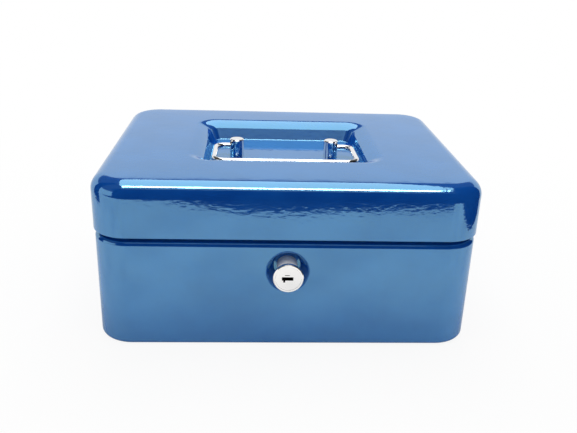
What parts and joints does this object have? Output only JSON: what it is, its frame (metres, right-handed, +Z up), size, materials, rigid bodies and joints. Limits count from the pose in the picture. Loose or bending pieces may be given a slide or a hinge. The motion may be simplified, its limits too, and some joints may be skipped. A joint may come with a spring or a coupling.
{
  "type": "petty cash box",
  "caption": "Lockable pressed-steel cash box with a hinged lid, a fold-down wire handle sunk in the lid, a front cam lock and a lift-out coin tray.",
  "frame": {"origin": "middle of the flat underside", "axes": "+Z up, -Y towards the lock at the front, +X to the right seen from the front, along the longest side"},
  "size_m": [0.2, 0.1727, 0.09],
  "materials": {
    "blue_enamel": "glossy baked enamel",
    "chrome_plate": "polished chrome plate",
    "zinc_steel": "bright zinc plate",
    "brass_wafer": "stamped brass",
    "tray_plastic": "moulded, fine grain"
  },
  "bodies": {
    "base": {"base_shell": "blue_enamel", "lock_barrel": "chrome_plate", "lock_washer": "zinc_steel", "lock_nut": "zinc_steel", "hinge_left_base_leaf": "zinc_steel", "hinge_right_base_leaf": "zinc_steel", "hinge_left_pin": "zinc_steel", "hinge_right_pin": "zinc_steel", "hinge_base_rivets": "zinc_steel"},
    "lid": {"lid_shell": "blue_enamel", "handle_post_left": "chrome_plate", "handle_post_right": "chrome_plate", "post_washers": "zinc_steel", "post_screws": "zinc_steel", "lid_catch": "zinc_steel", "hinge_left_lid_leaf": "zinc_steel", "hinge_right_lid_leaf": "zinc_steel", "hinge_lid_rivets": "zinc_steel"},
    "handle": {"handle_bail": "chrome_plate"},
    "lock": {"lock_plug": "chrome_plate", "lock_wafers": "brass_wafer", "lock_cam": "zinc_steel", "cam_screw": "zinc_steel"},
    "tray": {"coin_tray": "tray_plastic"}
  },
  "joints": [
    {"name": "lid_hinge", "type": "hinge", "parent": "base", "child": "lid", "pos_m": [0, 0.083, 0.06], "axis": [-1, 0, 0], "range_deg": [0, 100]},
    {"name": "handle_pivot", "type": "hinge", "parent": "lid", "child": "handle", "pos_m": [0, 0.003, 0.0855], "axis": [-1, 0, 0], "range_deg": [0, 175]},
    {"name": "lock_turn", "type": "hinge", "parent": "base", "child": "lock", "pos_m": [0, -0.0872, 0.0432], "axis": [0, 1, 0], "range_deg": [0, 90]},
    {"name": "tray_lift", "type": "slide", "parent": "base", "child": "tray", "axis": [0, 0, 1], "range_m": [0, 0.0525]}
  ],
  "couplings": [
    {"joint": "tray_lift", "follows": "lid_hinge", "m_per_rad": 0.03}
  ]
}
